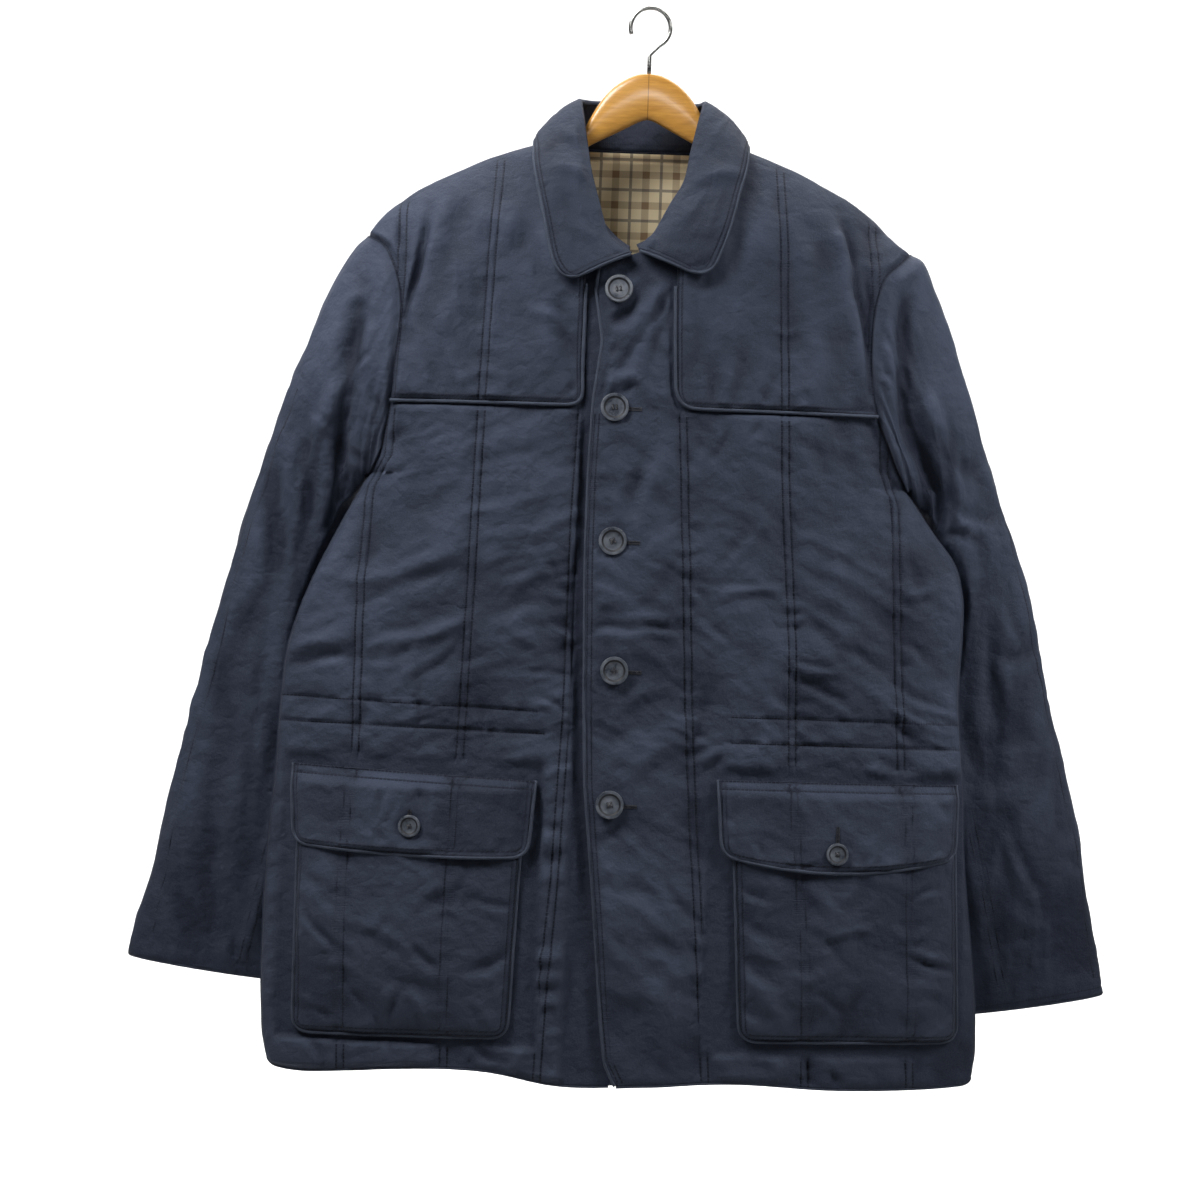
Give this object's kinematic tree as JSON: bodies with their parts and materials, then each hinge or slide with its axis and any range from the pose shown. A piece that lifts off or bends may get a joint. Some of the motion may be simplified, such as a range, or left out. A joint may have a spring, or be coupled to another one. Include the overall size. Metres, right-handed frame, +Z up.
{
  "type": "balmacaan coat on a hanger",
  "caption": "Buttoned padded navy car coat with set-in sleeves, a round-cornered collar, storm flaps and piped patch pockets, hung on a wooden hanger.",
  "frame": {"origin": "inside top of the hanger's hook, where the rail carries it", "axes": "+Z up along the hook's stem; the coat's front faces -Y; +X is the wearer's left"},
  "size_m": [0.827, 0.1405, 0.8973],
  "materials": {
    "navy_cloth": "thin woven shell over padding, soft sheen, quilted in double rows",
    "navy_piping": "corded edge in a darker navy cloth",
    "checked_lining": "woven cotton lining in a plain crossed-line check, seen in the neck",
    "dark_button": "dark four-hole buttons, half gloss",
    "varnished_wood": "honey-coloured varnished hardwood",
    "hook_steel": "bright plated wire"
  },
  "bodies": {
    "root": {"right_front": "navy_cloth", "left_front": "navy_cloth", "back": "navy_cloth", "right_sleeve": "navy_cloth", "left_sleeve": "navy_cloth", "right_storm_flap": "navy_cloth", "left_storm_flap": "navy_cloth", "right_pocket": "navy_cloth", "left_pocket": "navy_cloth", "right_pocket_flap": "navy_cloth", "left_pocket_flap": "navy_cloth", "collar": "navy_cloth", "collar_piping": "navy_piping", "front_piping": "navy_piping", "right_storm_flap_piping": "navy_piping", "left_storm_flap_piping": "navy_piping", "right_pocket_piping": "navy_piping", "left_pocket_piping": "navy_piping", "right_pocket_flap_piping": "navy_piping", "left_pocket_flap_piping": "navy_piping", "back_lining": "checked_lining", "front_button_1": "dark_button", "front_button_2": "dark_button", "front_button_3": "dark_button", "front_button_4": "dark_button", "front_button_5": "dark_button", "right_flap_button": "dark_button", "left_flap_button": "dark_button", "wooden_hanger": "varnished_wood", "hanger_hook": "hook_steel"}
  },
  "joints": []
}
